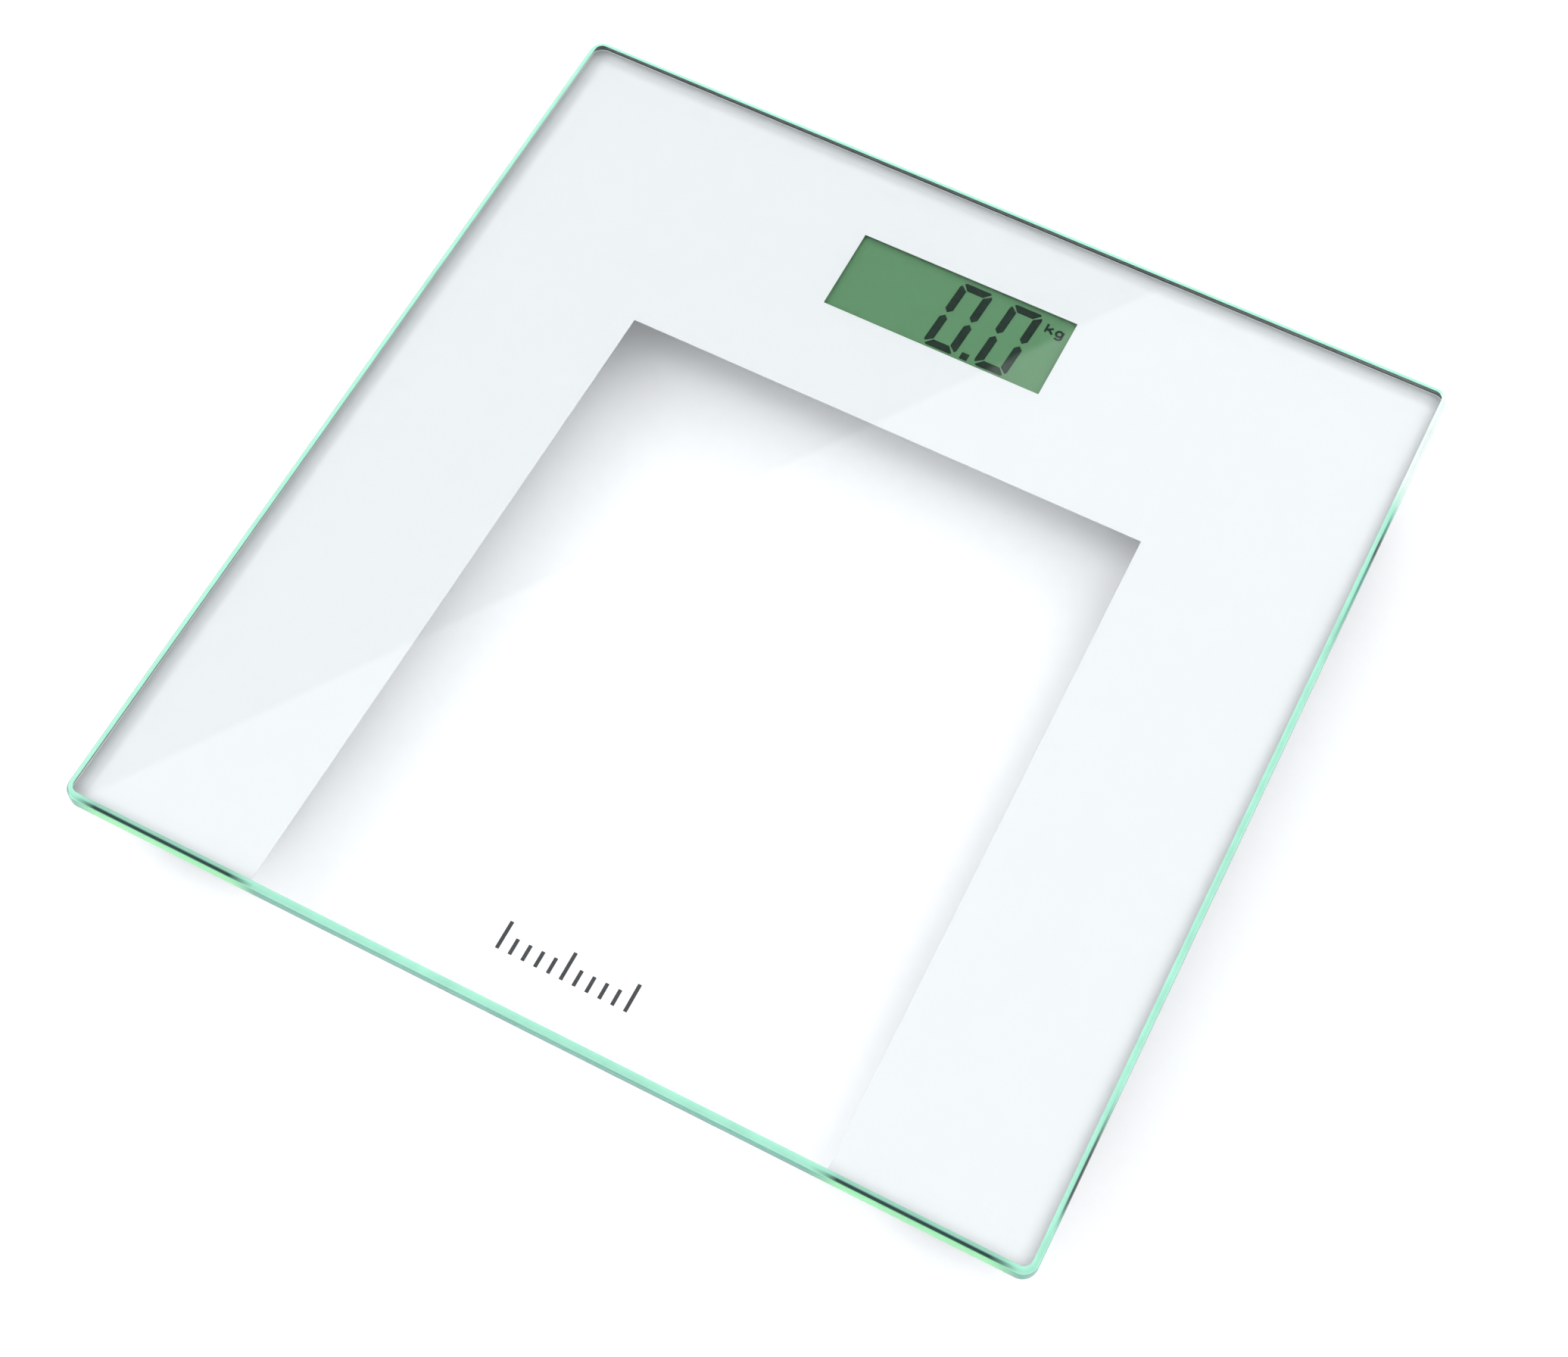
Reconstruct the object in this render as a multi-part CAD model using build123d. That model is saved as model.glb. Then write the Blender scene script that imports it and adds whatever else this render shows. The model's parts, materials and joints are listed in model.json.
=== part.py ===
"""Glass-topped digital bathroom scale, built as an assembly of separate closed solids.

Millimetres. +Z is up, +Y runs from the standing edge to the display edge and +X is to the
right of the person standing on it. The origin is on the floor under the middle of the glass.
"""

import os

from build123d import *

# Glass platform
GLASS_WIDTH = 300.0
GLASS_DEPTH = 310.0
GLASS_THICKNESS = 6.0
GLASS_CORNER = 4.6
GLASS_EDGE_TOP = 2.0
GLASS_EDGE_BOTTOM = 0.8
TOTAL_HEIGHT = 22.0
GLASS_BOTTOM = TOTAL_HEIGHT - GLASS_THICKNESS

# Printed band on the underside of the glass
PRINT_THICKNESS = 0.2
PRINT_INSET = 0.9
PRINT_BOTTOM = GLASS_BOTTOM - PRINT_THICKNESS
CLEAR_BACK_Y = 63.5
CLEAR_BACK_HALF = 86.0
CLEAR_FRONT_HALF = 89.5
DISPLAY_Y = 111.8
DISPLAY_WIDTH = 73.9
DISPLAY_DEPTH = 29.6

# Row of graduation ticks printed in the clear field
TICK_COUNT = 11
TICK_PITCH = 4.0
TICK_WIDTH = 1.1
TICK_SHORT = 5.0
TICK_LONG = 8.8
TICK_X = 0.9
TICK_Y = -138.0

# Foam tape between the print and the plastic parts
TAPE_THICKNESS = 0.8
PLASTIC_TOP = PRINT_BOTTOM - TAPE_THICKNESS

# Display housing and its screwed-on cover
HOUSING_HALF = 74.0
HOUSING_FRONT_Y = 82.0
HOUSING_BACK_Y = 142.0
HOUSING_Y = (HOUSING_FRONT_Y + HOUSING_BACK_Y) / 2
HOUSING_CORNER = 6.0
WALL = 1.8
COVER_BOTTOM = 2.6
COVER_TOP = 4.6
RIM_GAP = 0.2
RIM_THICKNESS = 1.2
RIM_HEIGHT = 1.1
COVER_BOSS_X = 67.5
COVER_BOSS_Y = 24.4
COVER_BOSS_RADIUS = 2.8
CUP_TOP = 5.8

# Circuit board and liquid-crystal panel
BOARD_LEFT = -46.5
BOARD_RIGHT = 58.0
BOARD_FRONT = 89.5
BOARD_BACK = 134.5
BOARD_BOTTOM = 10.0
BOARD_TOP = 11.2
BOARD_BOSSES = [(-43.2, 99.5), (53.4, 99.5), (-43.2, 131.4), (53.4, 131.4)]
PANEL_HALF = 39.5
PANEL_FRONT = DISPLAY_Y - 17.0
PANEL_BACK = DISPLAY_Y + 20.0
PANEL_LEDGE = 4.0
PANEL_TOP = 14.75
PANEL_SHEET = 0.7
FILM = 0.2
REFLECTOR_BOTTOM = 13.05

# Coin cell, its well and its sliding door
CELL_X = -59.6
CELL_RADIUS = 10.0
CELL_BOTTOM = 4.3
CELL_THICKNESS = 3.2
WELL_INNER = 10.4
WELL_OUTER = 11.6
WELL_CEILING = 8.6
DOOR_LEFT = -73.2
DOOR_RIGHT = -47.2
DOOR_HALF = 12.6
DOOR_TOP = 4.2
DOOR_GAP = 0.3
TONGUE_WIDTH = 1.2
TONGUE_BOTTOM = 3.5
GROOVE_BOTTOM = 3.3
GROOVE_TOP = 4.4

# Unit button and the switch above it
BUTTON_X = 40.0
BUTTON_Y = 101.0
BUTTON_RADIUS = 4.0
BUTTON_HOLE = 4.3
SWITCH_BOTTOM = 6.9

# Corner feet
FOOT_X = 119.0
FOOT_Y = 124.0
BRACKET_RADIUS = 24.0
BRACKET_WALL = 1.6
BRACKET_FLANGE = 26.0
BRACKET_BOTTOM = 5.2
BRACKET_LIP_TOP = 6.4
BRACKET_CEILING = 13.4
LIP_RADIUS = 19.0
GAUGE_HALF = 15.0
GAUGE_BOTTOM = 9.4
GAUGE_TOP = 11.2
CAP_RADIUS = 18.4
CAP_FLANGE = 20.4
CAP_FLANGE_BOTTOM = 7.2
CAP_FLANGE_TOP = 8.0
PAD_TOP = 1.2

# Leads and the channels that carry them
LEAD_Z = 11.75
LEAD_RADIUS = 0.5
LEAD_PITCH = 1.5
LEAD_START = 12.0
CHANNEL_Y = 92.6
CHANNEL_BEND = 8.0
CHANNEL_WIDTH = 8.0
CHANNEL_INNER = 5.6
CHANNEL_BOTTOM = 10.2
CHANNEL_FLOOR = 11.0
CHANNEL_START = BRACKET_RADIUS + 0.1
LEFT_PAD_X = -45.5
RIGHT_PAD_X = 57.2

os.makedirs("parts", exist_ok=True)


def block(x0, x1, y0, y1, z0, z1):
    """Rectangular block between two corners."""
    centre = Pos((x0 + x1) / 2, (y0 + y1) / 2, (z0 + z1) / 2)
    return centre * Box(x1 - x0, y1 - y0, z1 - z0)


def rounded(x0, x1, y0, y1, z0, z1, radius):
    """Block with rounded upright corners."""
    outline = Pos((x0 + x1) / 2, (y0 + y1) / 2, z0) * RectangleRounded(x1 - x0, y1 - y0, radius)
    return extrude(outline, amount=z1 - z0)


def disc(x, y, z0, z1, radius):
    """Upright cylinder between two heights."""
    return Pos(x, y, (z0 + z1) / 2) * Cylinder(radius, z1 - z0)


def ring(x, y, z0, z1, inner, outer):
    """Upright tube between two heights."""
    return disc(x, y, z0, z1, outer) - disc(x, y, z0 - 1, z1 + 1, inner)


def edges_at(solid, height):
    """Edges that lie wholly at one height."""
    return [e for e in solid.edges() if abs(e.bounding_box().min.Z - height) < 1e-4
            and abs(e.bounding_box().max.Z - height) < 1e-4]


def outer_edges_at(solid, height):
    """Outline edges of the face at one height, without its holes."""
    faces = [f for f in solid.faces() if abs(f.center().Z - height) < 1e-4
             and abs(abs(f.normal_at().Z) - 1) < 1e-4]
    largest = max(faces, key=lambda f: f.outer_wire().length)
    return largest.outer_wire().edges()


def write(name, *solids):
    """Write one node, which may be a group of separate solids."""
    pieces = []
    for solid in solids:
        pieces.extend(solid.solids())
    shape = pieces[0] if len(pieces) == 1 else Compound(children=pieces)
    shape.label = name
    export_step(shape, f"parts/{name}.step")


def strip(points, thickness, y0, y1):
    """Sheet-metal strip bent in the XZ plane: flats joined by round bends."""
    made = None
    for (x0, z0), (x1, z1) in zip(points, points[1:]):
        run = Vector(x1 - x0, 0, z1 - z0)
        flat = Plane(origin=((x0 + x1) / 2, (y0 + y1) / 2, (z0 + z1) / 2),
                     x_dir=run.normalized(), z_dir=(0, 1, 0))
        piece = flat * Box(run.length, thickness, y1 - y0)
        made = piece if made is None else made + piece
    for x, z in points[1:-1]:
        bend = Plane(origin=(x, (y0 + y1) / 2, z), z_dir=(0, 1, 0))
        made = made + bend * Cylinder(thickness / 2, y1 - y0)
    return made


def glass_platform():
    """Toughened plate with rounded corners and polished, rounded edges."""
    plate = rounded(-GLASS_WIDTH / 2, GLASS_WIDTH / 2, -GLASS_DEPTH / 2, GLASS_DEPTH / 2,
                    GLASS_BOTTOM, TOTAL_HEIGHT, GLASS_CORNER)
    plate = fillet(edges_at(plate, TOTAL_HEIGHT), radius=GLASS_EDGE_TOP)
    return fillet(edges_at(plate, GLASS_BOTTOM), radius=GLASS_EDGE_BOTTOM)


def printed_band():
    """Ink layer that leaves a clear field open to the front and a display window."""
    half_x = GLASS_WIDTH / 2 - PRINT_INSET
    half_y = GLASS_DEPTH / 2 - PRINT_INSET
    sheet = rounded(-half_x, half_x, -half_y, half_y, PRINT_BOTTOM, GLASS_BOTTOM,
                    GLASS_CORNER - PRINT_INSET)
    front = -GLASS_DEPTH / 2
    corners = [(-CLEAR_BACK_HALF, CLEAR_BACK_Y), (CLEAR_BACK_HALF, CLEAR_BACK_Y),
               (CLEAR_FRONT_HALF, front), (-CLEAR_FRONT_HALF, front)]
    field = Pos(0, 0, PRINT_BOTTOM - 1) * make_face(Polyline(*corners, close=True))
    window = block(-DISPLAY_WIDTH / 2, DISPLAY_WIDTH / 2,
                   DISPLAY_Y - DISPLAY_DEPTH / 2, DISPLAY_Y + DISPLAY_DEPTH / 2,
                   PRINT_BOTTOM - 1, GLASS_BOTTOM + 1)
    return sheet - extrude(field, amount=3, dir=(0, 0, 1)) - window


def printed_mark():
    """Plain row of graduation ticks near the standing edge: every fifth one is long."""
    ticks = []
    for count in range(TICK_COUNT):
        x = TICK_X + (count - (TICK_COUNT - 1) / 2) * TICK_PITCH
        height = TICK_LONG if count % 5 == 0 else TICK_SHORT
        ticks.append(block(x - TICK_WIDTH / 2, x + TICK_WIDTH / 2, TICK_Y, TICK_Y + height,
                           PRINT_BOTTOM, GLASS_BOTTOM))
    return ticks


def display_gasket():
    """Black foam frame that seals the display against the print."""
    outer = rounded(-42.5, 42.5, 92.2, 134.0, PLASTIC_TOP, PRINT_BOTTOM, 2.0)
    inner = block(-DISPLAY_WIDTH / 2 - 0.75, DISPLAY_WIDTH / 2 + 0.75,
                  DISPLAY_Y - DISPLAY_DEPTH / 2 - 0.75, DISPLAY_Y + DISPLAY_DEPTH / 2 + 0.75,
                  PLASTIC_TOP - 1, PRINT_BOTTOM + 1)
    return outer - inner


def housing_tape():
    """Two foam tape pads that hold the housing to the glass."""
    left = rounded(-72.0, -44.0, 84.0, 140.0, PLASTIC_TOP, PRINT_BOTTOM, 4.0)
    return left, mirror(left, about=Plane.YZ)


def cover_boss_places():
    """Centres of the four screws that hold the cover."""
    return [(sx * COVER_BOSS_X, HOUSING_Y + sy * COVER_BOSS_Y) for sx in (-1, 1) for sy in (-1, 1)]


def lead_slots():
    """Openings in the two side walls for the leads of the four feet."""
    slots = None
    for side in (-1, 1):
        for y in (CHANNEL_Y, FOOT_Y):
            low, high = sorted((side * (HOUSING_HALF - WALL - 0.5), side * (HOUSING_HALF + 0.5)))
            slot = block(low, high, y - 2.9, y + 2.9, 10.9, 12.9)
            slots = slot if slots is None else slots + slot
    return slots


def display_housing():
    """Upper half of the electronics case, open below and round the display."""
    body = rounded(-HOUSING_HALF, HOUSING_HALF, HOUSING_FRONT_Y, HOUSING_BACK_Y,
                   COVER_TOP, PLASTIC_TOP, HOUSING_CORNER)
    body = chamfer(outer_edges_at(body, PLASTIC_TOP), length=0.6)
    body -= rounded(-HOUSING_HALF + WALL, HOUSING_HALF - WALL, HOUSING_FRONT_Y + WALL,
                    HOUSING_BACK_Y - WALL, COVER_TOP - 1, PLASTIC_TOP - WALL,
                    HOUSING_CORNER - WALL)
    for x, y in cover_boss_places():
        body += disc(x, y, CUP_TOP, PLASTIC_TOP - WALL, COVER_BOSS_RADIUS)
        body -= disc(x, y, CUP_TOP - 1, 12.6, 1.3)
    for x, y in BOARD_BOSSES:
        body += disc(x, y, BOARD_TOP, PLASTIC_TOP - WALL, 2.2)
        body -= disc(x, y, BOARD_TOP - 1, 14.2, 1.0)
    body -= block(-PANEL_HALF - 0.4, PANEL_HALF + 0.4, PANEL_FRONT - 0.4, PANEL_BACK + 0.4,
                  PLASTIC_TOP - WALL - 1, PLASTIC_TOP + 1)
    return body - lead_slots()


def door_slot():
    """Space in the cover that the battery door and its tongues slide in."""
    right = DOOR_RIGHT + 0.4
    left = -HOUSING_HALF - 1
    half = DOOR_HALF + DOOR_GAP
    wide = half + TONGUE_WIDTH
    slot = block(left, right, HOUSING_Y - half, HOUSING_Y + half, COVER_BOTTOM - 1, GROOVE_TOP)
    slot += block(left, right, HOUSING_Y - wide, HOUSING_Y + wide, GROOVE_BOTTOM, GROOVE_TOP)
    slot += block(left, -HOUSING_HALF + WALL + RIM_GAP, HOUSING_Y - wide, HOUSING_Y + wide,
                  GROOVE_BOTTOM, COVER_TOP + 0.5)
    return slot


def battery_well():
    """Round well for the coin cell with slots for its two contacts."""
    well = disc(CELL_X, HOUSING_Y, GROOVE_TOP, WELL_CEILING + 1.0, WELL_OUTER)
    well += block(-70.8, -46.0, HOUSING_Y - 16.5, HOUSING_Y + 16.5, GROOVE_TOP, CUP_TOP)
    return well


def housing_cover():
    """Lower half of the case with screw cups, battery well and button hole."""
    plate = rounded(-HOUSING_HALF, HOUSING_HALF, HOUSING_FRONT_Y, HOUSING_BACK_Y,
                    COVER_BOTTOM, COVER_TOP, HOUSING_CORNER)
    plate = fillet(edges_at(plate, COVER_BOTTOM), radius=0.8)
    inset = WALL + RIM_GAP
    rim = rounded(-HOUSING_HALF + inset, HOUSING_HALF - inset, HOUSING_FRONT_Y + inset,
                  HOUSING_BACK_Y - inset, COVER_TOP - 0.2, COVER_TOP + RIM_HEIGHT,
                  HOUSING_CORNER - inset)
    inner = inset + RIM_THICKNESS
    rim -= rounded(-HOUSING_HALF + inner, HOUSING_HALF - inner, HOUSING_FRONT_Y + inner,
                   HOUSING_BACK_Y - inner, COVER_TOP - 1, COVER_TOP + RIM_HEIGHT + 1,
                   HOUSING_CORNER - inner)
    body = plate + rim + battery_well()
    body -= door_slot()
    body -= disc(CELL_X, HOUSING_Y, COVER_BOTTOM - 1, WELL_CEILING, WELL_INNER)
    body -= block(-53.0, -47.0, HOUSING_Y - 6.3, HOUSING_Y - 1.7, CUP_TOP, 8.1)
    body -= block(-53.0, -47.0, HOUSING_Y + 1.7, HOUSING_Y + 6.3, 8.0, WELL_CEILING)
    for x, y in cover_boss_places():
        body += disc(x, y, COVER_TOP - 0.5, CUP_TOP, 3.6)
        body -= disc(x, y, COVER_BOTTOM - 1, COVER_TOP, 2.9)
        body -= disc(x, y, COVER_TOP - 1, CUP_TOP + 1, 1.6)
    body += ring(BUTTON_X, BUTTON_Y, COVER_TOP - 0.5, CUP_TOP, 5.6, 6.8)
    body -= disc(BUTTON_X, BUTTON_Y, COVER_BOTTOM - 1, COVER_TOP + 1, BUTTON_HOLE)
    for x in (-20.0, -10.0, 0.0, 10.0, 20.0):
        body += block(x - 0.5, x + 0.5, 86.0, 138.0, COVER_TOP - 0.1, COVER_TOP + 1.0)
    return body


def pan_screw(head_bottom, head_height, head_radius, shank_top, shank_radius):
    """Pan-head screw on the origin's axis, head down, with a cross recess."""
    head_top = head_bottom + head_height
    head = disc(0, 0, head_bottom, head_top, head_radius)
    head = fillet(edges_at(head, head_bottom), radius=head_height * 0.45)
    screw = head + disc(0, 0, head_top - 0.1, shank_top, shank_radius)
    screw = chamfer(edges_at(screw, shank_top), length=shank_radius * 0.5)
    long, short = head_radius * 0.55, head_radius * 0.13
    depth = head_height * 0.5
    for half_x, half_y in ((long, short), (short, long)):
        screw -= block(-half_x, half_x, -half_y, half_y, head_bottom - 1, head_bottom + depth)
    return screw


def driven(screw, places):
    """Copies of a screw at several places, each left at its own angle by the driver."""
    return [Pos(x, y, 0) * Rot(0, 0, 17 + 31 * count) * screw
            for count, (x, y) in enumerate(places)]


def cover_screws():
    """Four screws that close the case from below."""
    return driven(pan_screw(3.0, COVER_TOP - 3.0, 2.6, 12.0, 1.25), cover_boss_places())


def board_screws():
    """Four small screws that hold the circuit board."""
    return driven(pan_screw(8.8, BOARD_BOTTOM - 8.8, 1.9, 14.0, 0.95), BOARD_BOSSES)


def panel_front_film():
    """Front polariser of the liquid-crystal panel."""
    return block(-38.8, 38.8, PANEL_FRONT + 0.4, PANEL_BACK - 2.3, PANEL_TOP, PANEL_TOP + FILM)


def panel_front_glass():
    """Front sheet of the panel, with a contact ledge along its back edge."""
    return block(-PANEL_HALF, PANEL_HALF, PANEL_FRONT, PANEL_BACK,
                 PANEL_TOP - PANEL_SHEET, PANEL_TOP)


def panel_back_glass():
    """Rear sheet of the panel, shorter than the front sheet by the ledge."""
    return block(-PANEL_HALF, PANEL_HALF, PANEL_FRONT, PANEL_BACK - PANEL_LEDGE,
                 PANEL_TOP - 2 * PANEL_SHEET, PANEL_TOP - PANEL_SHEET)


def panel_reflector():
    """Rear polariser and reflector."""
    return block(-38.6, 38.6, PANEL_FRONT + 0.4, PANEL_BACK - PANEL_LEDGE - 0.4,
                 REFLECTOR_BOTTOM, PANEL_TOP - 2 * PANEL_SHEET)


def panel_holder():
    """Frame that carries the panel above the board and guides the contact strip."""
    outer = rounded(-39.3, 39.3, PANEL_FRONT + 0.1, PANEL_BACK - 0.1, BOARD_TOP, REFLECTOR_BOTTOM,
                    0.8)
    outer -= block(-36.5, 36.5, PANEL_FRONT + 2.8, PANEL_BACK - 5.2,
                   BOARD_TOP - 1, REFLECTOR_BOTTOM + 1)
    return outer - block(-34.3, 34.3, DISPLAY_Y + 17.0, DISPLAY_Y + 19.4,
                         BOARD_TOP - 1, REFLECTOR_BOTTOM + 1)


def contact_strip():
    """Elastomer strip between the board and the panel's ledge."""
    return block(-34.0, 34.0, DISPLAY_Y + 17.1, DISPLAY_Y + 19.3, BOARD_TOP, PANEL_TOP - PANEL_SHEET)


def main_board():
    """Circuit board with screw holes and two locating notches."""
    board = rounded(BOARD_LEFT, BOARD_RIGHT, BOARD_FRONT, BOARD_BACK, BOARD_BOTTOM, BOARD_TOP, 1.5)
    for x, y in BOARD_BOSSES:
        board -= disc(x, y, BOARD_BOTTOM - 1, BOARD_TOP + 1, 1.2)
    for x in (-20.0, 30.0):
        board -= disc(x, BOARD_FRONT, BOARD_BOTTOM - 1, BOARD_TOP + 1, 1.5)
    return board


def chip_cover():
    """Low epoxy dome over the processor on the board's underside."""
    radius, height = 7.0, 1.5
    sphere_radius = (radius ** 2 + height ** 2) / (2 * height)
    low = BOARD_BOTTOM - height
    dome = Pos(12.0, 110.0, low + sphere_radius) * Sphere(sphere_radius)
    return dome & block(4.0, 20.0, 102.0, 118.0, low - 1, BOARD_BOTTOM)


def surface_parts():
    """Resistors, capacitors and a crystal on the board's underside."""
    parts = []
    for x in range(-24, 37, 6):
        parts.append(block(x - 1.0, x + 1.0, 123.4, 124.6, BOARD_BOTTOM - 0.6, BOARD_BOTTOM))
    for x in range(-12, 1, 4):
        parts.append(block(x - 0.6, x + 0.6, 104.0, 106.0, BOARD_BOTTOM - 0.8, BOARD_BOTTOM))
    crystal = rounded(24.0, 31.0, 108.0, 111.0, BOARD_BOTTOM - 2.4, BOARD_BOTTOM, 1.4)
    parts.append(crystal)
    return parts


def tact_switch():
    """Square push switch on the board's underside, with four legs."""
    body = block(BUTTON_X - 3, BUTTON_X + 3, BUTTON_Y - 3, BUTTON_Y + 3, SWITCH_BOTTOM, BOARD_BOTTOM)
    body = chamfer(edges_at(body, SWITCH_BOTTOM), length=0.3)
    body -= disc(BUTTON_X, BUTTON_Y, SWITCH_BOTTOM - 1, 8.6, 1.9)
    for side in (-1, 1):
        for end in (-1, 1):
            x0, x1 = sorted((BUTTON_X + side * 2.9, BUTTON_X + side * 4.4))
            y = BUTTON_Y + end * 2.2
            body += block(x0, x1, y - 0.4, y + 0.4, BOARD_BOTTOM - 0.3, BOARD_BOTTOM)
    return body


def switch_plunger():
    """Actuator of the switch, which rides on the button."""
    return disc(BUTTON_X, BUTTON_Y, 6.0, 7.6, 1.6)


def unit_button():
    """Round unit button with a retaining flange and a stem."""
    cap = disc(BUTTON_X, BUTTON_Y, 2.1, COVER_TOP + 0.1, BUTTON_RADIUS)
    cap = fillet(edges_at(cap, 2.1), radius=0.5)
    cap -= Pos(BUTTON_X, BUTTON_Y, 2.1 - 13.6) * Sphere(14.0)
    cap += disc(BUTTON_X, BUTTON_Y, COVER_TOP + 0.05, COVER_TOP + 0.85, 5.2)
    return cap + disc(BUTTON_X, BUTTON_Y, COVER_TOP + 0.8, 6.0, 1.6)


def coin_cell():
    """Round lithium cell: wide can with a narrower raised lid on top."""
    top = CELL_BOTTOM + CELL_THICKNESS
    can = disc(CELL_X, HOUSING_Y, CELL_BOTTOM, top - 0.4, CELL_RADIUS)
    can = fillet(edges_at(can, CELL_BOTTOM) + edges_at(can, top - 0.4), radius=0.3)
    lid = disc(CELL_X, HOUSING_Y, top - 0.5, top, CELL_RADIUS - 1.4)
    return can + fillet(edges_at(lid, top), radius=0.2)


def contact_negative():
    """Spring leaf that presses on the cell's lid and runs to the board."""
    touch = CELL_BOTTOM + CELL_THICKNESS + 0.15
    route = [(-63.0, touch), (-58.0, 8.3), (-45.3, 8.3), (-45.3, BOARD_BOTTOM)]
    return strip(route, 0.3, HOUSING_Y + 2.0, HOUSING_Y + 6.0)


def contact_positive():
    """Spring leaf that presses on the cell's rim and runs to the board."""
    route = [(-49.64, 5.95), (-49.64, 7.6), (-45.3, 7.6), (-45.3, BOARD_BOTTOM)]
    return strip(route, 0.3, HOUSING_Y - 6.0, HOUSING_Y - 2.0)


def battery_door():
    """Sliding door with side tongues and a ribbed thumb grip."""
    low, high = HOUSING_Y - DOOR_HALF, HOUSING_Y + DOOR_HALF
    door = block(DOOR_LEFT, DOOR_RIGHT, low, high, COVER_BOTTOM, DOOR_TOP)
    door += block(DOOR_LEFT, DOOR_RIGHT, low - TONGUE_WIDTH, high + TONGUE_WIDTH,
                  TONGUE_BOTTOM, DOOR_TOP)
    for step in range(5):
        x = DOOR_LEFT + 2.5 + 1.8 * step
        door -= block(x, x + 0.9, HOUSING_Y - 7, HOUSING_Y + 7, COVER_BOTTOM - 1, COVER_BOTTOM + 0.5)
    return door


def channel(points, bend):
    """Lead channel: a trough open towards the glass, swept along its run."""
    outer = run_along(points, bend, CHANNEL_WIDTH, CHANNEL_BOTTOM, PRINT_BOTTOM, 0.0)
    return outer - run_along(points, bend, CHANNEL_INNER, CHANNEL_FLOOR, PRINT_BOTTOM + 1, 1.0)


def run_along(points, bend, width, z0, z1, extra):
    """Rectangle swept along a level path, lengthened by `extra` at both ends."""
    first, second = Vector(*points[0]), Vector(*points[1])
    last, before = Vector(*points[-1]), Vector(*points[-2])
    heading = (second - first).normalized()
    tail = (last - before).normalized()
    ends = [first - heading * extra, *[Vector(*p) for p in points[1:-1]], last + tail * extra]
    middle = (z0 + z1) / 2
    route = [(p.X, p.Y, middle) for p in ends]
    path = Polyline(*route) if len(route) == 2 else FilletPolyline(*route, radius=bend)
    profile = Plane(origin=route[0], x_dir=(-heading.Y, heading.X, 0), z_dir=heading)
    return sweep(profile * Rectangle(width, z1 - z0), path=path)


def side_channel():
    """Left channel from the front foot to the case."""
    points = [(-FOOT_X, -FOOT_Y + CHANNEL_START), (-FOOT_X, CHANNEL_Y), (-HOUSING_HALF - 0.1, CHANNEL_Y)]
    return channel(points, CHANNEL_BEND)


def rear_channel():
    """Left channel from the rear foot to the case."""
    return channel([(-FOOT_X + CHANNEL_START, FOOT_Y), (-HOUSING_HALF - 0.1, FOOT_Y)], 0.0)


def lead_end(side):
    """X at which the leads of one side meet their solder pads."""
    return LEFT_PAD_X if side < 0 else RIGHT_PAD_X


def front_lead(side, offset):
    """One lead of a front foot, concentric with its channel's bend."""
    x = side * (FOOT_X - offset)
    y = CHANNEL_Y - offset
    route = [(x, -FOOT_Y + LEAD_START, LEAD_Z), (x, y, LEAD_Z), (lead_end(side), y, LEAD_Z)]
    path = FilletPolyline(*route, radius=CHANNEL_BEND - offset)
    start = Plane(origin=route[0], z_dir=(0, 1, 0))
    return sweep(start * Circle(LEAD_RADIUS), path=path)


def rear_lead(side, offset):
    """One lead of a rear foot, straight to the board."""
    start = Plane(origin=(side * (FOOT_X - LEAD_START), FOOT_Y + offset, LEAD_Z), z_dir=(-side, 0, 0))
    length = FOOT_X - LEAD_START - abs(lead_end(side))
    return extrude(start * Circle(LEAD_RADIUS), amount=length)


def leads(offset):
    """The leads of one colour, one for each foot."""
    return [make(side, offset) for side in (-1, 1) for make in (front_lead, rear_lead)]


def solder_joints():
    """Solder domes where the leads meet the board."""
    domes = []
    for side in (-1, 1):
        x = lead_end(side) - side * 0.7
        for y in (CHANNEL_Y, FOOT_Y):
            for step in (-1, 0, 1):
                dome = disc(x, y + step * LEAD_PITCH, BOARD_TOP, BOARD_TOP + 0.9, 0.7)
                domes.append(fillet(edges_at(dome, BOARD_TOP + 0.9), radius=0.4))
    return domes


def foot_bracket():
    """Round cup glued to the glass, with ribs, ledges, lip and a lead slot."""
    body = disc(0, 0, BRACKET_BOTTOM, PLASTIC_TOP, BRACKET_RADIUS)
    body = fillet(edges_at(body, BRACKET_BOTTOM), radius=0.8)
    body += disc(0, 0, BRACKET_CEILING + 0.4, PLASTIC_TOP, BRACKET_FLANGE)
    inner = BRACKET_RADIUS - BRACKET_WALL
    body -= disc(0, 0, BRACKET_LIP_TOP, BRACKET_CEILING, inner)
    body -= disc(0, 0, BRACKET_BOTTOM - 1, BRACKET_LIP_TOP + 1, LIP_RADIUS)
    for side in (-1, 1):
        x0, x1 = sorted((side * 11.0, side * 14.5))
        body += block(x0, x1, -12.0, 12.0, GAUGE_TOP, BRACKET_CEILING + 0.1)
        x0, x1 = sorted((side * 14.0, side * (inner + 0.4)))
        body += block(x0, x1, -3.0, 3.0, GAUGE_BOTTOM - 1.2, GAUGE_BOTTOM)
    body -= block(-CHANNEL_WIDTH / 2 - 0.2, CHANNEL_WIDTH / 2 + 0.2, BRACKET_RADIUS - 0.02,
                  BRACKET_FLANGE + 1, BRACKET_CEILING, PLASTIC_TOP + 1)
    return body - block(-2.8, 2.8, inner - 1, BRACKET_FLANGE, 10.9, 12.9)


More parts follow.
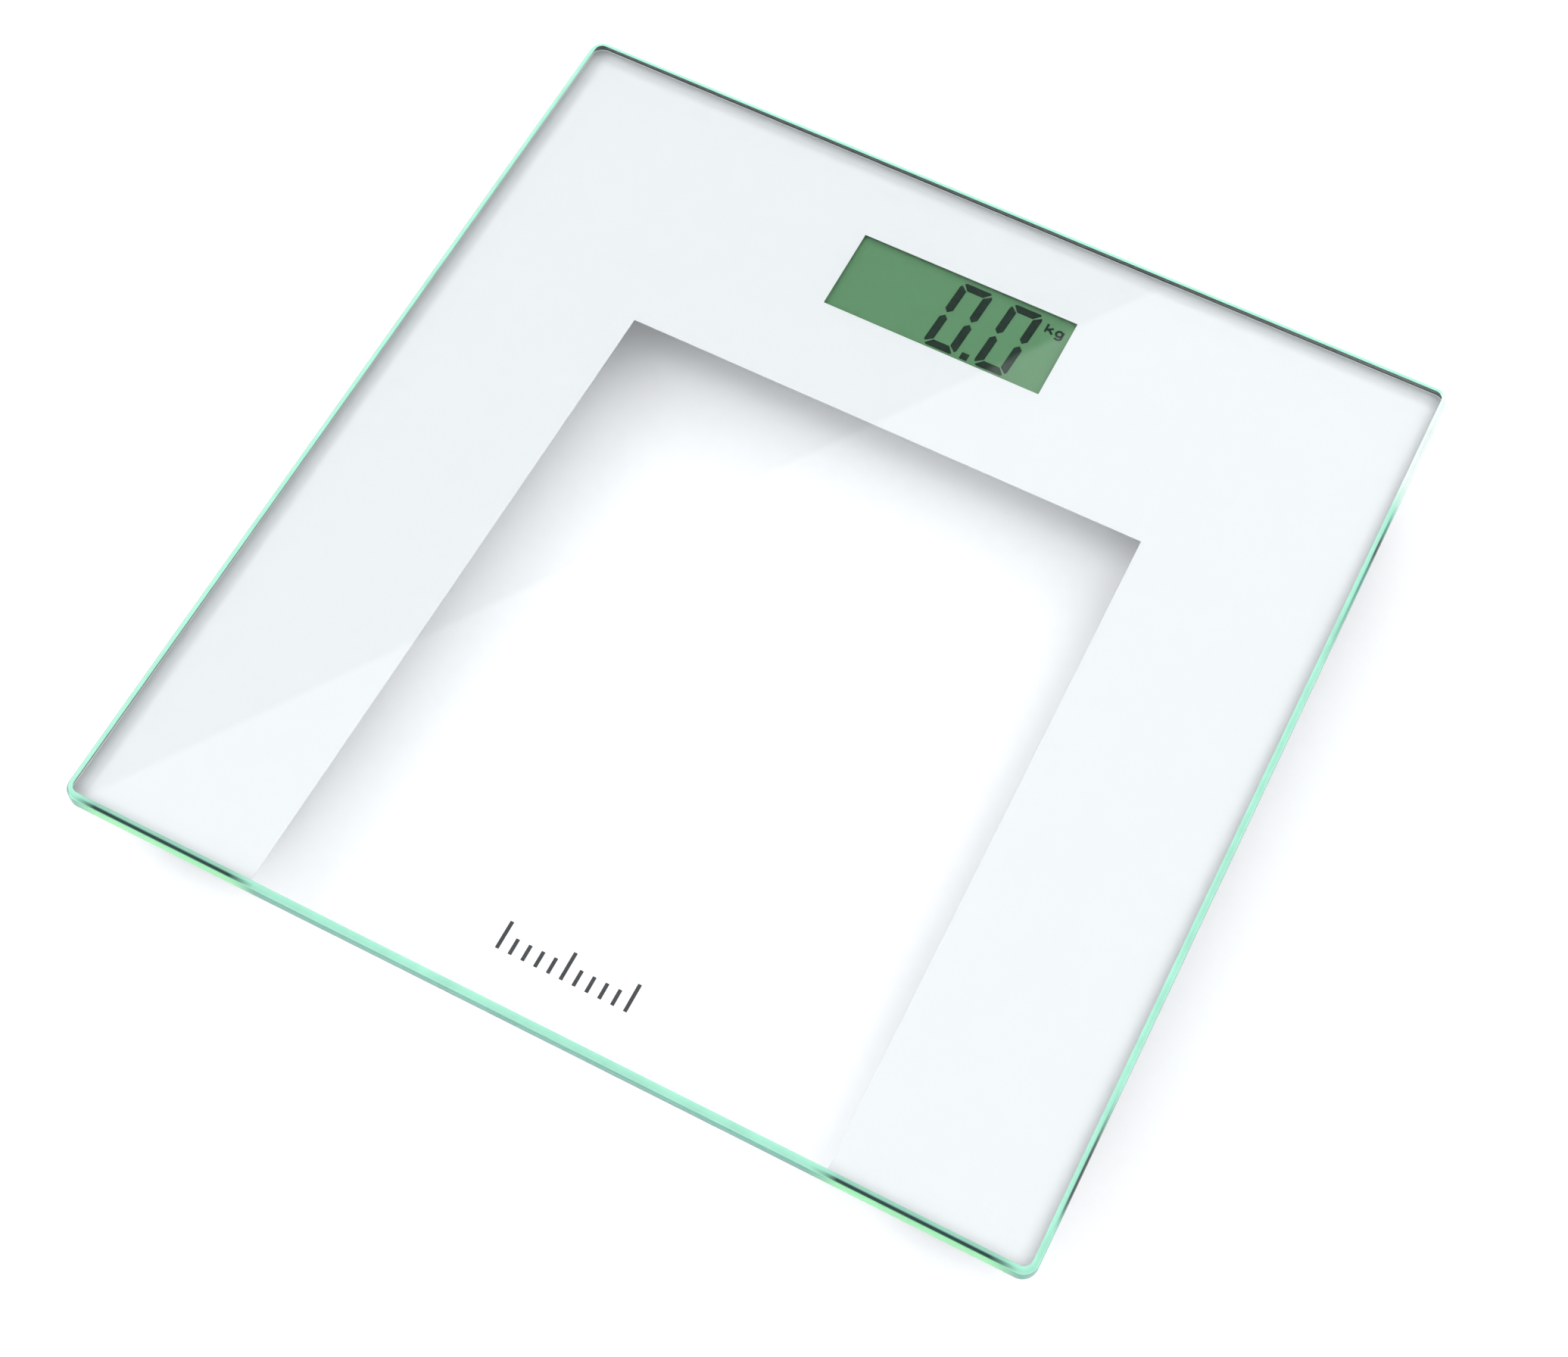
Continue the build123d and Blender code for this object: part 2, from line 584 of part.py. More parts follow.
def foot_tape():
    """Foam tape ring that holds the bracket to the glass."""
    tape = ring(0, 0, PLASTIC_TOP, PRINT_BOTTOM, 12.0, BRACKET_FLANGE - 0.5)
    return tape - block(-CHANNEL_WIDTH / 2 - 0.2, CHANNEL_WIDTH / 2 + 0.2, BRACKET_RADIUS - 0.02,
                        BRACKET_FLANGE + 1, PLASTIC_TOP - 1, PRINT_BOTTOM + 1)


def load_cell():
    """Stamped steel plate whose middle tongue bends under load."""
    plate = rounded(-GAUGE_HALF, GAUGE_HALF, -GAUGE_HALF, GAUGE_HALF, GAUGE_BOTTOM, GAUGE_TOP, 2.5)
    low, high = GAUGE_BOTTOM - 1, GAUGE_TOP + 1
    plate -= block(-10.5, -9.0, -10.0, 9.0, low, high)
    plate -= block(9.0, 10.5, -10.0, 9.0, low, high)
    plate -= block(-10.5, 10.5, -10.0, -8.5, low, high)
    return plate - disc(0, 0, low, high, 1.6)


def gauge_potting():
    """Silicone over the strain gauges at the neck of the tongue."""
    pot = rounded(-7.0, 7.0, 4.5, LEAD_START, GAUGE_TOP, GAUGE_TOP + 1.4, 2.0)
    return fillet(edges_at(pot, GAUGE_TOP + 1.4), radius=0.5)


def foot_cap():
    """Plastic foot: cup, snap flange, ribs and the post that carries the tongue."""
    cap = disc(0, 0, 0.6, CAP_FLANGE_BOTTOM + 0.1, CAP_RADIUS)
    cap = fillet(edges_at(cap, 0.6), radius=0.9)
    cap += disc(0, 0, CAP_FLANGE_BOTTOM, CAP_FLANGE_TOP, CAP_FLANGE)
    cap -= disc(0, 0, 2.6, CAP_FLANGE_TOP + 1, CAP_RADIUS - 1.6)
    cap += disc(0, 0, 2.5, GAUGE_BOTTOM, 4.5)
    cap += disc(0, 0, GAUGE_BOTTOM - 0.1, GAUGE_BOTTOM + 1.4, 1.3)
    for step in range(3):
        rib = Pos(0, 0, 4.4) * Rot(0, 0, 60 * step) * Box(2 * CAP_RADIUS - 2.4, 1.2, 3.8)
        cap += rib
    return cap - disc(0, 0, 0, PAD_TOP, 15.8)


def foot_pad():
    """Rubber disc with two round grooves in its tread."""
    pad = disc(0, 0, 0, PAD_TOP, 15.5)
    pad = fillet(edges_at(pad, 0), radius=0.3)
    for radius in (6.0, 10.5):
        pad -= ring(0, 0, -1, 0.5, radius, radius + 1.0)
    return pad


def write_feet():
    """Place the six parts of a foot under each corner, leads facing their channel."""
    corners = {"front_left": (-1, -1, 0), "front_right": (1, -1, 0),
               "rear_left": (-1, 1, -90), "rear_right": (1, 1, 90)}
    makers = {"foot_bracket": foot_bracket, "foot_tape": foot_tape, "load_cell": load_cell,
              "gauge_potting": gauge_potting, "foot_cap": foot_cap, "foot_pad": foot_pad}
    for part, make in makers.items():
        shape = make()
        for corner, (side, end, turn) in corners.items():
            place = Pos(side * FOOT_X, end * FOOT_Y, 0) * Rot(0, 0, turn)
            write(f"{part}_{corner}", place * shape)


def write_channels():
    """Write the left channels and their mirror images."""
    for name, make in (("side_channel", side_channel), ("rear_channel", rear_channel)):
        left = make()
        write(f"{name}_left", left)
        write(f"{name}_right", mirror(left, about=Plane.YZ))


def write_leads():
    """Write the leads by colour."""
    for colour, step in (("red", -1), ("white", 0), ("black", 1)):
        write(f"lead_{colour}", *leads(step * LEAD_PITCH))


def main():
    """Write every node of the scale."""
    for make in (glass_platform, printed_band, display_gasket, display_housing, housing_cover,
                 panel_front_film, panel_front_glass, panel_back_glass, panel_reflector,
                 panel_holder, contact_strip, main_board, chip_cover, tact_switch,
                 switch_plunger, unit_button, coin_cell, contact_negative, contact_positive,
                 battery_door):
        write(make.__name__, make())
    for make in (printed_mark, housing_tape, cover_screws, board_screws, surface_parts, solder_joints):
        write(make.__name__, *make())
    write_channels()
    write_leads()
    write_feet()


main()
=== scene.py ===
"""Looks of a glass-topped digital bathroom scale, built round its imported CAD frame.

Laid out as an add-on and run as a script. Metres, +Z up, +Y towards the display edge.
"""

import json
import math

import bpy
import bmesh
import numpy as np
from bpy.props import FloatProperty, FloatVectorProperty, IntProperty, PointerProperty
from mathutils import Matrix, Vector


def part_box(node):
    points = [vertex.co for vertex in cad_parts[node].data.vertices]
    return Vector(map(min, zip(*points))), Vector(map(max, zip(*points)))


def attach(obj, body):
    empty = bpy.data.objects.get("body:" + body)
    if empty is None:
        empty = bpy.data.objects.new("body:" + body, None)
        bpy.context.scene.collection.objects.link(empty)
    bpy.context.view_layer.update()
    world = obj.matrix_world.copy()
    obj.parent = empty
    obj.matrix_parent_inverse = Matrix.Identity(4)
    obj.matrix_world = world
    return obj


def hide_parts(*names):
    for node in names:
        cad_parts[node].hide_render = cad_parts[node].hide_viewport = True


bl_info = {
    "name": "Glass bathroom scale",
    "version": (1, 0, 0),
    "blender": (4, 5, 0),
    "location": "View3D > Sidebar > Scale",
    "description": "Builds the glass, display, case and feet of a digital bathroom scale",
    "category": "Object",
}

MM = 0.001
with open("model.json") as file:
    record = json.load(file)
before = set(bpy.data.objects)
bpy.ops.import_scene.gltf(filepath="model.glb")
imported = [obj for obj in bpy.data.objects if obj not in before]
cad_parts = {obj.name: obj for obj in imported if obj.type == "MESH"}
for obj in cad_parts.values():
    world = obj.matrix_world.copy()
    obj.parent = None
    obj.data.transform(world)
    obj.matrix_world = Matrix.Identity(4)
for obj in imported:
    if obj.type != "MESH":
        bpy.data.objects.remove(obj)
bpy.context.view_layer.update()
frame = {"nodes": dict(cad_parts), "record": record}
GLASS_LOW, GLASS_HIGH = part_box("glass_platform")
FILM_LOW, FILM_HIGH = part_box("panel_front_film")
PRINT_LOW, PRINT_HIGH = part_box("printed_band")
AIR_GAP = 0.02 * MM
SKIN_OUTSIDE, SKIN_INSIDE = 0.012 * MM, 0.03 * MM
DIGIT_X, DIGIT_BASE = 20.1 * MM, 98.4 * MM
UNIT_AT, UNIT_SIZE, UNIT_STROKE = (28.8 * MM, 119.9 * MM), (3.9 * MM, 3.3 * MM), 0.78 * MM
TOWARDS_PANEL = (-0.198, 0.423, 0.884)
TOWARDS_CARD = (-0.33, 0.50, 0.80)
ACROSS_CARD_EDGE = (0.7355, -0.4815, 0.4766)
TOWARDS_BRIGHT_SIDE = (-0.59, 0.81, 0)
UP = (0, 0, 1)
BACKGROUND_LEVEL = 1.3


# ---------------------------------------------------------------- colour and nodes

def linear(text):
    """Linear RGBA of an sRGB hex colour: the standard curve, undone channel by channel."""
    values = [int(text[i:i + 2], 16) / 255 for i in (1, 3, 5)]
    curve = [v / 12.92 if v <= 0.04045 else ((v + 0.055) / 1.055) ** 2.4 for v in values]
    return (*curve, 1.0)


def add(tree, kind, values=None, links=None, **settings):
    """Add a node with its settings, plain input values and incoming links."""
    made = tree.nodes.new(kind)
    for name, value in settings.items():
        setattr(made, name, value)
    for name, value in (values or {}).items():
        made.inputs[name].default_value = value
    for name, socket in (links or {}).items():
        tree.links.new(socket, made.inputs[name])
    return made


def material(name, **values):
    """New node material with a Principled shader; returns it with its tree and shader."""
    made = bpy.data.materials.new(name)
    made.use_nodes = True
    tree = made.node_tree
    shader = tree.nodes["Principled BSDF"]
    for key, value in values.items():
        shader.inputs[key.replace("_", " ")].default_value = value
    return made, tree, shader


def pattern(tree, size_mm, detail=3.0, roughness=0.55, stretch=(1, 1, 1)):
    """Noise on Object coordinates whose features are size_mm across; stretch lengthens them."""
    where = add(tree, "ShaderNodeTexCoord").outputs["Object"]
    scale = tuple(1 / (size_mm * MM * s) for s in stretch)
    mapped = add(tree, "ShaderNodeMapping", {"Scale": scale}, {"Vector": where})
    noise = add(tree, "ShaderNodeTexNoise", {"Scale": 1.0, "Detail": detail, "Roughness": roughness},
                {"Vector": mapped.outputs[0]})
    return noise.outputs["Fac"]


def ranged(tree, socket, low, high, start=0.3, end=0.7):
    """A factor spread from start..end to low..high."""
    spread = add(tree, "ShaderNodeMapRange", {"From Min": start, "From Max": end,
                                             "To Min": low, "To Max": high}, {"Value": socket})
    return spread.outputs[0]


def tinted(tree, shader, hex_a, hex_b, factor):
    """Base colour that wanders between two close colours."""
    mixed = add(tree, "ShaderNodeMix", data_type="RGBA")
    # A colour Mix node's own sockets come after the float ones, so they are found by type.
    colours = [s for s in mixed.inputs if s.type == "RGBA"]
    colours[0].default_value = linear(hex_a)
    colours[1].default_value = linear(hex_b)
    tree.links.new(factor, mixed.inputs[0])
    out = [s for s in mixed.outputs if s.type == "RGBA"][0]
    tree.links.new(out, shader.inputs["Base Color"])


def bumped(tree, shader, height, depth_mm, strength=1.0):
    """Surface relief of a given depth."""
    bump = add(tree, "ShaderNodeBump", {"Distance": depth_mm * MM, "Strength": strength},
               {"Height": height})
    tree.links.new(bump.outputs[0], shader.inputs["Normal"])


# ---------------------------------------------------------------- materials

def moulded(name, hex_a, hex_b, roughness=0.42, grit_mm=0.45, depth_mm=0.02, ior=1.54):
    """Injection-moulded ABS: spark-eroded tool texture gives a fine even sparkle-free satin."""
    made, tree, shader = material(name, Roughness=roughness, IOR=ior)
    tinted(tree, shader, hex_a, hex_b, ranged(tree, pattern(tree, 22.0, 4.0), 0.0, 1.0))
    rough = ranged(tree, pattern(tree, 3.0, 3.0), roughness - 0.06, roughness + 0.08)
    tree.links.new(rough, shader.inputs["Roughness"])
    bumped(tree, shader, pattern(tree, grit_mm, 2.0), depth_mm)
    return made


def rubber(name, hex_a, hex_b):
    """Moulded rubber: dull, with a dusty bloom and a slightly pebbled skin."""
    made, tree, shader = material(name, Roughness=0.8, IOR=1.52)
    tinted(tree, shader, hex_a, hex_b, ranged(tree, pattern(tree, 5.0, 5.0), 0.0, 1.0))
    tree.links.new(ranged(tree, pattern(tree, 1.5), 0.68, 0.9), shader.inputs["Roughness"])
    bumped(tree, shader, pattern(tree, 0.6, 3.0), 0.05)
    return made


def foam(name, hex_a, hex_b):
    """Closed-cell foam tape: open cut cells along its edge, each about half a millimetre."""
    made, tree, shader = material(name, Roughness=0.9, IOR=1.4)
    where = add(tree, "ShaderNodeTexCoord").outputs["Object"]
    cells = add(tree, "ShaderNodeTexVoronoi", {"Scale": 1 / (0.55 * MM)}, {"Vector": where})
    tinted(tree, shader, hex_a, hex_b, ranged(tree, cells.outputs["Distance"], 0.0, 1.0, 0.1, 0.7))
    bumped(tree, shader, cells.outputs["Distance"], 0.12)
    return made


def plated(name, hex_a, hex_b, roughness=0.26, stretch=(1, 1, 1), grain_mm=0.8):
    """Plated or drawn steel: bright metal with faint die lines and handling haze."""
    made, tree, shader = material(name, Metallic=1.0, Roughness=roughness)
    tinted(tree, shader, hex_a, hex_b, ranged(tree, pattern(tree, 4.0, 4.0), 0.0, 1.0))
    lines = pattern(tree, grain_mm, 3.0, stretch=stretch)
    tree.links.new(ranged(tree, lines, roughness - 0.08, roughness + 0.14), shader.inputs["Roughness"])
    bumped(tree, shader, lines, 0.006)
    return made


def insulation(name, hex_a, hex_b):
    """PVC insulation: glossy, faintly wavy from extrusion."""
    made, tree, shader = material(name, Roughness=0.3, IOR=1.53)
    tinted(tree, shader, hex_a, hex_b, ranged(tree, pattern(tree, 9.0), 0.0, 1.0))
    bumped(tree, shader, pattern(tree, 2.0, 2.0), 0.03)
    return made


def float_glass(settings):
    """Soda-lime float glass: clear through its thickness, a little green along it."""
    made, tree, shader = material("soda_lime_float_glass", Base_Color=(1, 1, 1, 1), Roughness=0.0,
                                  IOR=1.52, Transmission_Weight=1.0)
    absorb = add(tree, "ShaderNodeVolumeAbsorption",
                 {"Color": tuple(settings.tint) + (1.0,), "Density": settings.tint_density})
    tree.links.new(absorb.outputs[0], tree.nodes["Material Output"].inputs["Volume"])
    return made


def painted_edge_light():
    """Opaque skin painted with light, shade and reflection: the pale mint glow, teal, leaf green and
    near-black green that a ground and polished glass edge shows, partly the green of the glass itself.
    It stands in for refraction, so it doesn't change with view."""
    made, tree, shader = material("glass_edge_painted_light", Roughness=0.22, IOR=1.52)
    # The edge's painted light, shade and reflection, read from its attribute.
    run = add(tree, "ShaderNodeAttribute", attribute_name="edge_light_and_shade").outputs["Color"]
    haze = ranged(tree, pattern(tree, 9.0, 4.0), 0.92, 1.06)
    shade = add(tree, "ShaderNodeVectorMath", links={0: run, 1: haze}, operation="MULTIPLY")
    tree.links.new(shade.outputs[0], shader.inputs["Base Color"])
    # The polishing wheel leaves long shallow lines that follow the edge.
    lines = pattern(tree, 0.5, 3.0, stretch=(24, 24, 1))
    tree.links.new(ranged(tree, lines, 0.14, 0.3), shader.inputs["Roughness"])
    bumped(tree, shader, lines, 0.012)
    return made


def border_ink():
    """Screen-printed ceramic ink: an even, very pale cool white seen through the plate, over a
    slightly darker backing coat on its lower half."""
    made, tree, shader = material("screen_ink_pale", Roughness=0.5, IOR=1.5)
    where = add(tree, "ShaderNodeTexCoord").outputs["Object"]
    height = add(tree, "ShaderNodeSeparateXYZ", links={0: where}).outputs["Z"]
    middle = (PRINT_LOW[2] + PRINT_HIGH[2]) / 2
    upper = ranged(tree, height, 0.0, 1.0, middle - 0.02 * MM, middle + 0.02 * MM)
    mottle = ranged(tree, pattern(tree, 30.0, 4.0), 0.97, 1.0)
    level = add(tree, "ShaderNodeMath", operation="MULTIPLY", links={0: upper, 1: mottle})
    tinted(tree, shader, "#D4D7D9", "#DFE1E3", level.outputs[0])
    bumped(tree, shader, pattern(tree, 0.25, 2.0), 0.004)
    return made


def mark_ink():
    """Dense black screen ink, very slightly pinholed."""
    made, tree, shader = material("screen_ink_black", Roughness=0.4, IOR=1.5)
    tinted(tree, shader, "#0B0C0E", "#15171A", ranged(tree, pattern(tree, 0.8, 4.0), 0.0, 1.0))
    return made


def polariser_film():
    """Transflective display film: grey-green, anti-glare, with the faint grain of the reflector."""
    made, tree, shader = material("display_polariser", Roughness=0.03, IOR=1.49)
    tinted(tree, shader, "#5E8B65", "#64926B", ranged(tree, pattern(tree, 0.22, 3.0), 0.0, 1.0))
    tree.links.new(ranged(tree, pattern(tree, 14.0), 0.015, 0.035), shader.inputs["Roughness"])
    return made


def segment_dye():
    """Switched-on liquid crystal: near-black with a green cast, softly uneven."""
    made, tree, shader = material("display_segment", Roughness=0.03, IOR=1.49)
    tinted(tree, shader, "#1F2E27", "#27382F", ranged(tree, pattern(tree, 1.2, 3.0), 0.0, 1.0))
    return made


def panel_sheet():
    """Thin display glass."""
    made, tree, shader = material("display_glass", Base_Color=(0.93, 1.0, 0.96, 1), Roughness=0.02,
                                  IOR=1.51, Transmission_Weight=1.0)
    bumped(tree, shader, pattern(tree, 6.0), 0.002)
    return made


def board_laminate():
    """Glass-epoxy board under solder mask: woven cloth shows as a fine grid under the green."""
    made, tree, shader = material("board_laminate", Roughness=0.35, IOR=1.55)
    where = add(tree, "ShaderNodeTexCoord").outputs["Object"]
    weave = add(tree, "ShaderNodeTexWave", {"Scale": 1 / (1.1 * MM) / 6.28, "Distortion": 0.4},
                {"Vector": where}, wave_type="BANDS", bands_direction="DIAGONAL")
    tinted(tree, shader, "#0F4A26", "#146332", weave.outputs["Fac"])
    bumped(tree, shader, weave.outputs["Fac"], 0.01)
    return made


def cast_epoxy():
    """Black glob of epoxy over a bare chip: glossy with shallow flow marks."""
    made, tree, shader = material("black_epoxy", Roughness=0.28, IOR=1.55)
    tinted(tree, shader, "#0B0B0C", "#161617", ranged(tree, pattern(tree, 3.0, 4.0), 0.0, 1.0))
    bumped(tree, shader, pattern(tree, 2.5), 0.05)
    return made


def fired_chip():
    """Small ceramic parts: matt buff body."""
    made, tree, shader = material("chip_ceramic", Roughness=0.6, IOR=1.6)
    tinted(tree, shader, "#8A6E50", "#A38463", ranged(tree, pattern(tree, 0.9, 4.0), 0.0, 1.0))
    return made


def contact_rubber():
    """Elastomer contact strip: thin dark conducting layers between pale insulating ones."""
    made, tree, shader = material("contact_elastomer", Roughness=0.7, IOR=1.42)
    where = add(tree, "ShaderNodeTexCoord").outputs["Object"]
    layers = add(tree, "ShaderNodeTexWave", {"Scale": 1 / (0.5 * MM) / 6.28}, {"Vector": where},
                 wave_type="BANDS", bands_direction="X")
    tinted(tree, shader, "#C9A7A0", "#2A2526", layers.outputs["Fac"])
    return made


def slot_materials():
    """One material for each slot that keeps its CAD shape."""
    return {
        "screen_ink": border_ink(),
        "mark_ink": mark_ink(),
        "black_foam": foam("gasket_foam", "#0E0F12", "#1A1C20"),
        "white_foam": foam("tape_foam", "#DADAD6", "#BFBFBA"),
        "abs_case": moulded("case_abs", "#E4E6E6", "#DFE1E1"),
        "abs_door": moulded("door_abs", "#E1E3E3", "#DBDDDD", 0.46),
        "abs_channel": moulded("channel_abs", "#E6E8E8", "#E0E2E2", 0.38),
        "abs_bracket": moulded("bracket_abs", "#E2E4E4", "#DCDEDE"),
        "abs_foot": moulded("foot_abs", "#CDD1D3", "#C5C9CB", 0.48),
        "abs_holder": moulded("holder_abs", "#D2D4D2", "#CACCCA"),
        "button_plastic": moulded("button_abs", "#4A4E52", "#43474B", 0.34),
        "switch_plastic": moulded("switch_nylon", "#121214", "#1B1B1E", 0.5),
        "plated_screw": plated("screw_nickel", "#C9C7C0", "#B9B6AE", 0.24),
        "polariser": polariser_film(),
        "reflector": polariser_film(),
        "panel_glass": panel_sheet(),
        "elastomer": contact_rubber(),
        "board_laminate": board_laminate(),
        "black_epoxy": cast_epoxy(),
        "chip_ceramic": fired_chip(),
        "solder": plated("solder_tin", "#C4C7CA", "#AEB2B6", 0.32),
        "nickel_spring": plated("spring_nickel", "#CFCBC0", "#BDB8AB", 0.22),
        "cell_steel": plated("cell_stainless", "#C8C8C6", "#B6B6B3", 0.3, (12, 1, 1), 0.5),
        "gauge_steel": plated("gauge_zinc", "#B9BBBD", "#A2A5A8", 0.36, (1, 9, 1), 0.6),
        "silicone": rubber("gauge_silicone", "#EDEDE8", "#DEDED8"),
        "foot_rubber": rubber("pad_rubber", "#2B2D2F", "#37393B"),
        "pvc_red": insulation("lead_pvc_red", "#B01A18", "#9C1513"),
        "pvc_white": insulation("lead_pvc_white", "#E8E8E4", "#DCDCD7"),
        "pvc_black": insulation("lead_pvc_black", "#141416", "#1D1D20"),
    }


def dress(nodes, materials):
    """Give CAD nodes the material of their record slot."""
    slots = {part["node"]: part["material_slot"] for part in frame["record"]["subparts"]}
    for name in nodes:
        if slots[name] in materials:
            mesh = frame["nodes"][name].data
            mesh.materials.clear()
            mesh.materials.append(materials[slots[name]])


# ---------------------------------------------------------------- surfaces

def edge_profile(low, high, low_radius, high_radius, steps=12):
    """Profile of the plate's edge as (out, height): a quarter circle at each of its two corners,
    each point at the cosine and sine of its angle, joined by the upright between them."""
    turn = np.linspace(0, np.pi / 2, steps)[:, None]
    under = np.hstack([np.sin(turn) - 1, 1 - np.cos(turn)]) * low_radius + [0, low]
    over = np.hstack([np.cos(turn) - 1, np.sin(turn) - 1]) * high_radius + [0, high]
    return np.vstack([under, over])


def rounded_outline(low, high, radius, arc=14):
    """Rectangle with rounded corners: points at each angle round four corner centres, and the
    outward direction at each, which is the cosine and sine of that angle."""
    angle = np.linspace(0, np.pi / 2, arc)[None, :] + np.arange(4)[:, None] * np.pi / 2
    outward = np.stack([np.cos(angle), np.sin(angle)], axis=-1)
    centre_x = np.array([high[0] - radius, low[0] + radius, low[0] + radius, high[0] - radius])
    centre_y = np.array([high[1] - radius, high[1] - radius, low[1] + radius, low[1] + radius])
    centre = np.stack([centre_x, centre_y], axis=-1)[:, None, :]
    return (centre + radius * outward).reshape(-1, 2), outward.reshape(-1, 2)


def refined(path, outward, spacing):
    """The same closed path with extra points at even steps of its length, interpolated."""
    closed = np.vstack([path, path[:1]])
    turned = np.vstack([outward, outward[:1]])
    run = np.concatenate([[0], np.cumsum(np.linalg.norm(np.diff(closed, axis=0), axis=1))])
    steps = np.union1d(run, np.arange(0, run[-1], spacing))[:-1]
    at = np.column_stack([np.interp(steps, run, column) for column in np.hstack([closed, turned]).T])
    return at[:, :2], at[:, 2:]


def smooth(value, low, high):
    """Smooth step: 3t^2 - 2t^3, with t running from 0 at low to 1 at high."""
    t = np.clip((value - low) / (high - low), 0, 1)
    return t * t * (3 - 2 * t)


def band(value, rise, fall):
    """Smooth step up over one range times a smooth step down over another."""
    return smooth(value, *rise) * (1 - smooth(value, *fall))


def skinned_profile(profile, outside, inside):
    """Closed loop round an open profile: the profile moved out along its normals, then in."""
    heading = np.gradient(profile, axis=0)
    heading /= np.linalg.norm(heading, axis=1, keepdims=True)
    normal = np.column_stack([heading[:, 1], -heading[:, 0]])
    return np.vstack([profile + normal * outside, (profile - normal * inside)[::-1]])


def carried(profile, path, outward):
    """Grid S(s, t) = path(s) + outward(s) * out(t), at height(t), for a profile of (out, height)."""
    profile = np.asarray(profile, float)
    level = path[:, None, :] + outward[:, None, :] * profile[None, :, :1]
    height = np.broadcast_to(profile[None, :, 1:], level.shape[:2] + (1,))
    return np.concatenate([level, height], axis=2)


def skin(grid, closed_profile=False):
    """Vertices and faces of a grid that closes along its path; an open profile is capped flat."""
    around, along = grid.shape[:2]
    index = np.arange(around * along).reshape(around, along)
    turned = np.roll(index, -1, axis=0)
    if closed_profile:
        index2, turned2 = np.roll(index, -1, axis=1), np.roll(turned, -1, axis=1)
        quads = np.stack([index, turned, turned2, index2], axis=-1).reshape(-1, 4)
        return grid.reshape(-1, 3), quads.tolist()
    quads = np.stack([index[:, :-1], turned[:, :-1], turned[:, 1:], index[:, 1:]], axis=-1)
    faces = quads.reshape(-1, 4).tolist()
    return grid.reshape(-1, 3), faces + [index[:, 0].tolist(), index[:, -1].tolist()]


def shown(name, vertices, faces, slot, body, look, sharp_deg=35.0):
    """Make a mesh object at the origin, faces outwards, on its body; its slot argument is not used."""
    mesh = bpy.data.meshes.new(name)
    mesh.from_pydata(np.asarray(vertices).tolist(), [], faces)
    shell = bmesh.new()
    shell.from_mesh(mesh)
    bmesh.ops.recalc_face_normals(shell, faces=shell.faces)
    shell.to_mesh(mesh)
    shell.free()
    mesh.polygons.foreach_set("use_smooth", np.ones(len(mesh.polygons), bool))
    mesh.set_sharp_from_angle(angle=math.radians(sharp_deg))
    mesh.materials.append(look)
    mesh.update()
    piece = bpy.data.objects.new(name, mesh)
    bpy.context.scene.collection.objects.link(piece)
    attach(piece, body)
    return piece


def plates(polygons, bottom, top):
    """Flat plates: each outline is set at two heights, capped, and walled between them."""
    vertices, faces, first = [], [], 0
    for outline in polygons:
        flat = np.asarray(outline, float)
        count = len(flat)
        low = np.column_stack([flat, np.full(count, bottom)])
        high = np.column_stack([flat, np.full(count, top)])
        vertices.append(np.vstack([low, high]))
        ring = np.arange(count)
        after = np.roll(ring, -1)
        walls = np.stack([ring, after, after + count, ring + count], axis=-1) + first
        faces += walls.tolist() + [(ring[::-1] + first).tolist(), (ring + count + first).tolist()]
        first += 2 * count
    return np.vstack(vertices), faces


def stroke(points, width):
    """Outline of a pen stroke: the line moved half a width to each side along its normals."""
    points = np.asarray(points, float)
    heading = np.gradient(points, axis=0)
    heading /= np.linalg.norm(heading, axis=1, keepdims=True)
    side = np.column_stack([-heading[:, 1], heading[:, 0]]) * width / 2
    return np.vstack([points + side, (points - side)[::-1]])


# ---------------------------------------------------------------- display characters

def zero_segments(width, height, stroke_width, chevron, gap):
    """Six outlines of a seven-segment zero: a bar and an upright, mirrored about both middles."""
    w, h, t = width / 2, height / 2, stroke_width
    bar = np.array([(-w + 0.9, h - 0.45), (-w + 1.5, h), (w - 1.5, h), (w - 0.9, h - 0.45),
                    (w - t - gap * 0.3, h - t), (-w + t + gap * 0.3, h - t)])
    upright = np.array([(-w + 0.45, h - 1.2), (-w, h - 2.0), (-w, gap + chevron),
                        (-w + t / 2, gap), (-w + t, gap + chevron), (-w + t, h - t - gap * 0.6)])
    flip_x, flip_y = np.array([-1, 1]), np.array([1, -1])
    return [bar, bar * flip_y, upright, upright * flip_x, upright * flip_y, -upright]


def slanted(outlines, x, y, slant):
    """Outlines leaned over by a slant (radians) and moved so their middle is at x, y."""
    lean = np.array([[1, 0], [math.tan(slant), 1]])
    return [np.asarray(o) @ lean + np.array([x, y]) for o in outlines]


def unit_strokes(x, y, size, width):
    """The letters k and g as pen strokes: straight lines, an ellipse and a hooked tail."""
    k = [[(0, 0), (0, 1.0)], [(0.06, 0.3), (0.55, 0.68)], [(0.2, 0.44), (0.62, 0)]]
    angle = np.linspace(0, 2 * np.pi, 25)
    bowl = np.column_stack([1.15 + 0.26 * np.cos(angle), 0.36 + 0.31 * np.sin(angle)])
    turn = np.linspace(0, np.pi * 0.85, 12)
    hook = np.column_stack([1.17 + 0.26 * np.cos(turn), -0.08 - 0.22 * np.sin(turn)])
    tail = np.vstack([[(1.43, 0.7)], hook])
    lines = k + [bowl, tail]
    return [stroke(np.asarray(line) * size + np.array([x, y]), width) for line in lines]


# ---------------------------------------------------------------- settings

